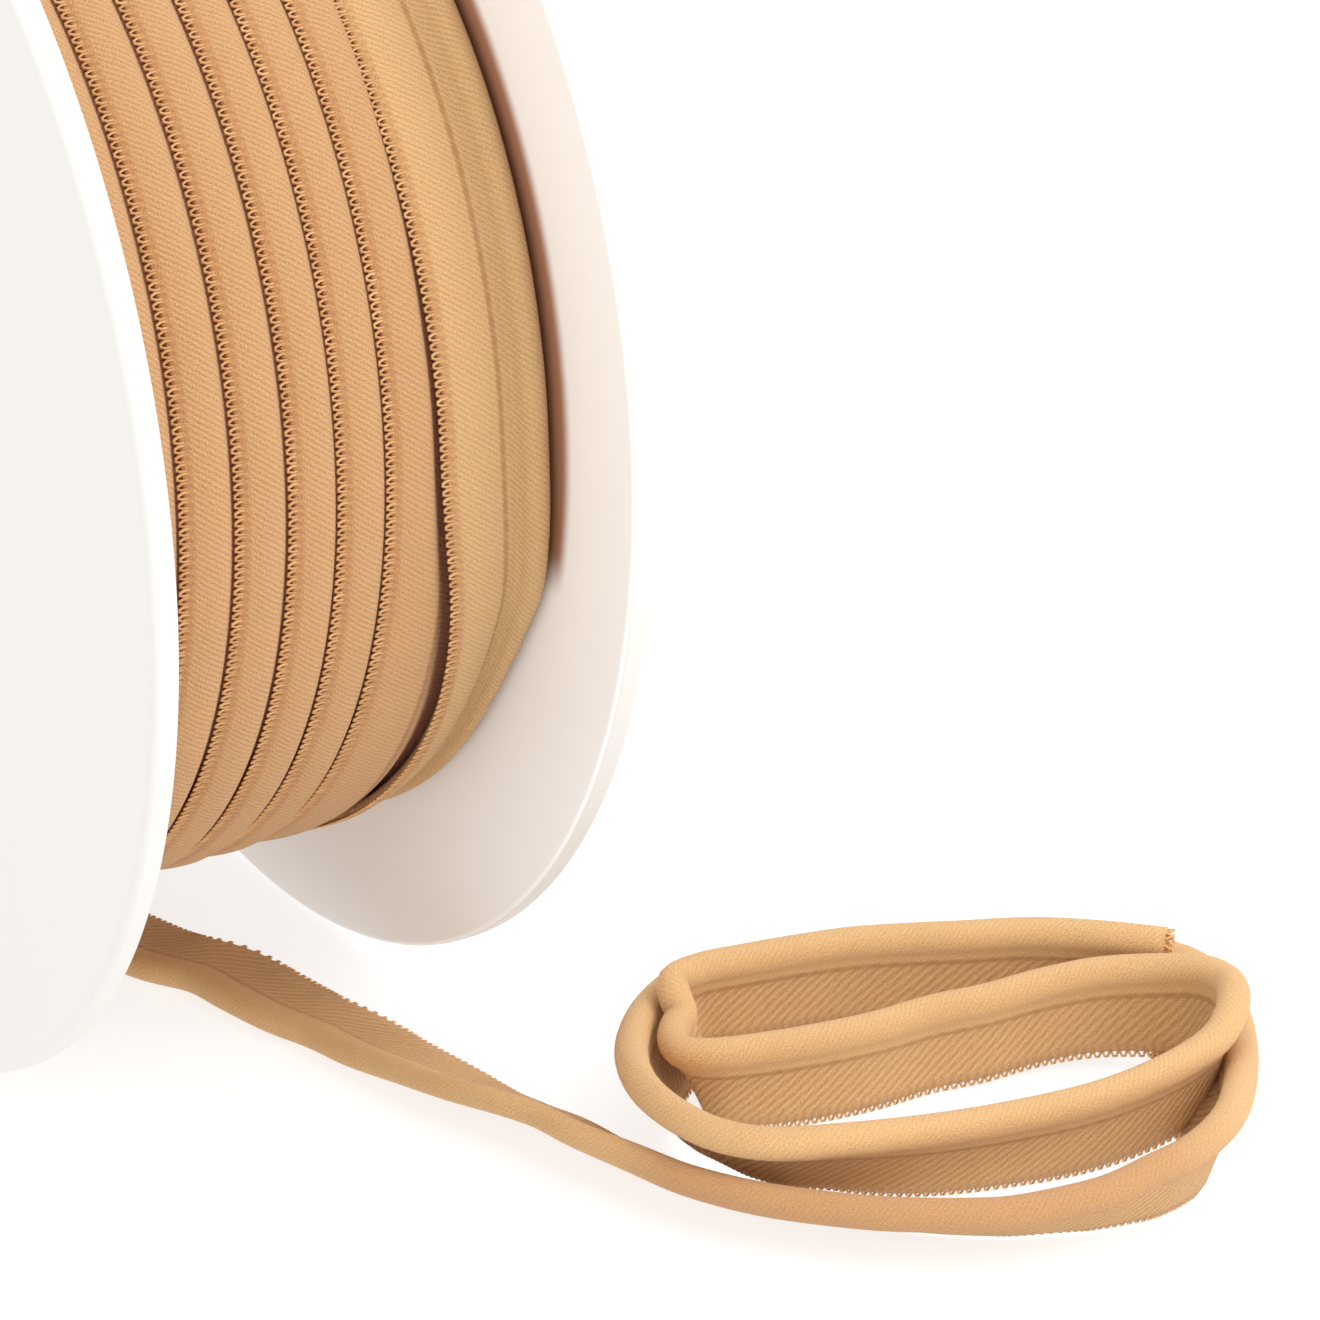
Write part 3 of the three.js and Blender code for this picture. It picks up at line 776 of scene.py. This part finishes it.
def strip_frame(turn):
    """For a number of turns counted from the front over the top: the selvage's place, the angle,
    how much the strip shows its whole width, and the rise of its selvage and of its cord."""
    degrees = 360 * turn
    bare_from = (LAST_TURN - 1) * 360 + LEAVE_ANGLE
    bare = smooth_step(degrees, bare_from, bare_from + LEAVE_BLEND)
    at = np.interp(degrees - 360 * LAST_TURN, LAST_TURN_SHAPE[:, 0], np.arange(len(LAST_TURN_SHAPE)))
    shift, left, right = through_points(LAST_TURN_SHAPE[:, 1:], at, centripetal=False).T
    edge = np.minimum(edge_at(turn), LAST_TURN_EDGE) + shift * bare
    return edge, np.radians(degrees), bare, left * bare, right * bare


def wound_strip(trim):
    """The helix, as points, faces, UV and painted shade. Its section's height over the wound radius
    comes from the covered profile, and from the full one with its cord where bare is 1."""
    radius = trim.wound_radius / MM
    start, end = -1.0, LAST_TURN + LEAVE_ANGLE / 360
    turn = np.linspace(start, end, int((end - start) * ROWS_PER_TURN) + 1)
    edge, angle, bare, left, right = strip_frame(turn)
    cord = trim.cord_radius / MM
    centre = trim.width / MM - cord
    ridge = arc((centre, 0.4), cord, 165, 0, 15)
    tail = np.array([(centre + cord * 0.9, -0.2), (centre + cord * 0.6, -0.8)])
    full = np.vstack([LAST_PROFILE, ridge, tail])
    part = np.linspace(0, 1, len(full))
    covered_at = np.interp(part, np.linspace(0, 1, len(COVERED_PROFILE)), COVERED_PROFILE[:, 0])
    covered = np.column_stack([covered_at, np.interp(covered_at, *COVERED_PROFILE.T)])
    share = bare[:, None, None]
    spacing = (strip_frame(turn + 1)[0] - edge) / TURN_PITCH
    stretch = np.clip(spacing, 0.94, 1.55) ** 1.2 + 0.04
    spaced = covered * np.stack([stretch, np.ones(len(turn))], -1)[:, None]
    section = spaced * (1 - share) + full * share
    lean = section[..., 0] / (trim.width / MM)
    section[..., 1] += left[:, None] * (1 - lean) + right[:, None] * lean
    under = section[:, ::-1].copy()
    under[..., 1] -= STRIP_THICKNESS
    under_cord = len(tail) + 6
    under[:, :under_cord, 1] = section[:, -1:, 1] - 0.3
    loop = np.concatenate([section, under], axis=1)
    low, high = SIDE_GAP, FLANGE_SPACING - SIDE_GAP
    room = np.minimum(1, (high - edge) / (trim.width / MM))
    across = edge[:, None] + loop[..., 0] * (1 + (room[:, None] - 1) * bare[:, None])
    across = np.where(across < low, low - OUTSIDE_SHARE * (low - across), across)
    across = np.where(across > high, high + OUTSIDE_SHARE * (across - high), across)
    grid = about_axis(across, radius + loop[..., 1], angle[:, None])
    half_width = cloth_width(tape_outline(trim))[0]
    steps = np.linalg.norm(np.diff(section, axis=1), axis=2)
    width = half_width - np.concatenate([np.zeros((len(turn), 1)), np.cumsum(steps, axis=1)], axis=1)
    width = np.concatenate([width, -width[:, ::-1]], axis=1)
    points, faces, uv = swept_cloth(grid[:, ::-1], angle * radius, width[:, ::-1], SELVAGE_EDGE)
    # painted shade: dark in the grooves between turns, and COVERED_SHADE over the rest of each covered turn;
    # none where the last turn is bare
    groove = smooth_step(-loop[..., 1], 0.1, 0.8)
    shade = (COVERED_SHADE + (1 - COVERED_SHADE) * groove) * (1 - bare[:, None])
    return points, faces, uv, shade[:, ::-1]


def wound_picots(trim):
    """Loops along the selvage of every turn that shows, which stand out towards the near flange."""
    radius = trim.wound_radius / MM
    start, end = FIRST_PICOT_TURN, LAST_TURN + LEAVE_ANGLE / 360
    count = int((end - start) * 2 * np.pi * radius / (trim.picot_pitch / MM))
    turn = start + (np.arange(count) + 0.5) * (end - start) / count
    edge, angle, _, left, _ = strip_frame(turn)
    keep = edge > SIDE_GAP + 0.7
    edge, angle, left = edge[keep], angle[keep], left[keep]
    base = about_axis(edge + 0.15, radius + 0.05 + left, angle)
    along = np.stack([0 * angle, np.sin(angle), np.cos(angle)], -1)
    up = np.stack([0 * angle, -np.cos(angle), np.sin(angle)], -1)
    out = np.tile([-1.0, 0, 0], (len(base), 1))
    return picot_loops(base, along, out, up, angle * radius, trim)


class MESH_OT_piping_loose(bpy.types.Operator):
    """The loose end: down behind the reel, along the floor and round into its coil"""

    bl_idname = "mesh.piping_loose"
    bl_label = "Loose end"

    def execute(self, context):
        trim = context.scene.piping_trim
        centre, along, flat, normal, length = loose_path(trim, LOOSE_STEP)
        rows = len(centre)
        walk = np.linspace(0, length, rows)
        outline = tape_outline(trim)
        girth = np.interp(walk, *CORD_GIRTH.T)[:, None, None]
        on_cord = 1 - smooth_step(outline[:, :1], 1.2, 2.2)
        section = outline * (1 + (girth - 1) * on_cord)
        grid = centre[:, None] + flat[:, None] * section[..., :1] + normal[:, None] * section[..., 1:]
        rise = np.maximum(0, FLOOR_GAP - grid[..., 2].min(axis=1))
        grid[..., 2] += rise[:, None]
        centre[:, 2] += rise
        tape = swept_cloth(grid, walk, cloth_width(outline), trim.thickness / MM)
        picks = np.linspace(1, rows - 2, int(length / (trim.picot_pitch / MM)))
        selvage = centre + flat * (outline[:, 0].max() - 0.1)
        fray = frayed_end(centre[-1], along[-1], flat[-1], normal[-1], trim)
        loops = picot_loops(
            rows_at(selvage, picks), unit(rows_at(along, picks)),
            unit(rows_at(flat, picks)), unit(rows_at(normal, picks)),
            np.interp(picks, np.arange(rows), walk), trim,
        )
        points, faces, uv = join_parts([tape, loops, fray])
        shade = np.zeros(len(points))
        # painted shade: the cord of the coil's front band, from 201 to 267 mm along, is darkened
        front = smooth_step(walk, 201, 211) * (1 - smooth_step(walk, 251, 267))
        shade[: rows * len(outline)] = (FRONT_CORD_SHADE * front[:, None] * on_cord[:, 0]).ravel()
        piece = make_mesh("loose_tape", points, faces, uv, shade)
        piece.data.materials.append(cloth_finish(trim, "coil_twill", 1.0))
        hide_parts("loose_end")
        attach(piece, "root")
        length * MM
        return {"FINISHED"}


class OBJECT_OT_piping_stage(bpy.types.Operator):
    """The white floor, the soft lights and the camera of the photograph"""

    bl_idname = "object.piping_stage"
    bl_label = "Stage"

    def execute(self, context):
        stage = context.scene.piping_stage
        corners = np.array([(-1, -1, 0), (1, -1, 0), (1, 1, 0), (-1, 1, 0)])
        floor = make_mesh("studio_floor", corners * FLOOR_REACH, [[0, 1, 2, 3]])
        finish = Finish("white_paper")
        place = finish.node("ShaderNodeTexCoord", output=3)
        tone = finish.mix(finish.noise(place, 40.0), (0.34, 0.34, 0.34), (0.36, 0.36, 0.36))
        floor.data.materials.append(finish.surface(
            Base_Color=tone, Roughness=0.9, Specular_IOR_Level=0.0,
            Emission_Color=(1, 1, 1, 1), Emission_Strength=0.74,
        ))
        world = bpy.data.worlds.new("studio_white")
        world.use_nodes = True
        world.node_tree.nodes["Background"].inputs["Color"].default_value = (1, 1, 1, 1)
        world.node_tree.nodes["Background"].inputs["Strength"].default_value = 1.0
        context.scene.world = world
        for name, spot, power in (
            ("key_softbox", Vector((-0.5, 0.45, 1.0)), stage.key),
            ("front_softbox", Vector((0.4, -0.8, 0.85)), stage.front),
        ):
            light = bpy.data.lights.new(name, "AREA")
            light.energy, light.size = power, SOFTBOX_SIDE
            lamp = bpy.data.objects.new(name, light)
            lamp.location = spot
            lamp.rotation_mode = "QUATERNION"
            lamp.rotation_quaternion = (LIGHT_TARGET - spot).to_track_quat("-Z", "Y")
            context.scene.collection.objects.link(lamp)
        camera = bpy.data.cameras.new("photo_camera")
        camera.sensor_width, camera.lens = 36.0, stage.lens
        camera.clip_start, camera.clip_end = 0.02, 20.0
        eye = bpy.data.objects.new("photo_camera", camera)
        eye.location = to_world(CAMERA_PLACE)
        eye.rotation_euler = (math.pi / 2 - stage.pitch, 0, -stage.yaw)
        context.scene.collection.objects.link(eye)
        context.scene.camera = eye
        context.scene.view_settings.view_transform = "Standard"
        return {"FINISHED"}


class VIEW3D_PT_piping(bpy.types.Panel):
    """Lists the sizes and the pieces"""

    bl_idname = "VIEW3D_PT_piping"
    bl_label = "Piping Trim"
    bl_space_type = "VIEW_3D"
    bl_region_type = "UI"
    bl_category = "Piping Trim"

    def draw(self, context):
        scene = context.scene
        for settings in (scene.piping_reel, scene.piping_trim, scene.piping_stage):
            box = self.layout.box()
            for name in settings.__annotations__:
                box.prop(settings, name)
        for operator in OPERATORS:
            self.layout.operator(operator.bl_idname)


OPERATORS = (OBJECT_OT_piping_stage, MESH_OT_piping_reel, MESH_OT_piping_wound, MESH_OT_piping_loose)
CLASSES = (ReelSettings, TrimSettings, StageSettings, *OPERATORS, VIEW3D_PT_piping)


def register():
    for item in CLASSES:
        bpy.utils.register_class(item)
    bpy.types.Scene.piping_reel = bpy.props.PointerProperty(type=ReelSettings)
    bpy.types.Scene.piping_trim = bpy.props.PointerProperty(type=TrimSettings)
    bpy.types.Scene.piping_stage = bpy.props.PointerProperty(type=StageSettings)


def unregister():
    del bpy.types.Scene.piping_stage, bpy.types.Scene.piping_trim, bpy.types.Scene.piping_reel
    for item in reversed(CLASSES):
        bpy.utils.unregister_class(item)


def main():
    register()
    bpy.ops.object.piping_stage()
    bpy.ops.mesh.piping_reel()
    bpy.ops.mesh.piping_wound()
    bpy.ops.mesh.piping_loose()


if __name__ == "__main__":
    main()
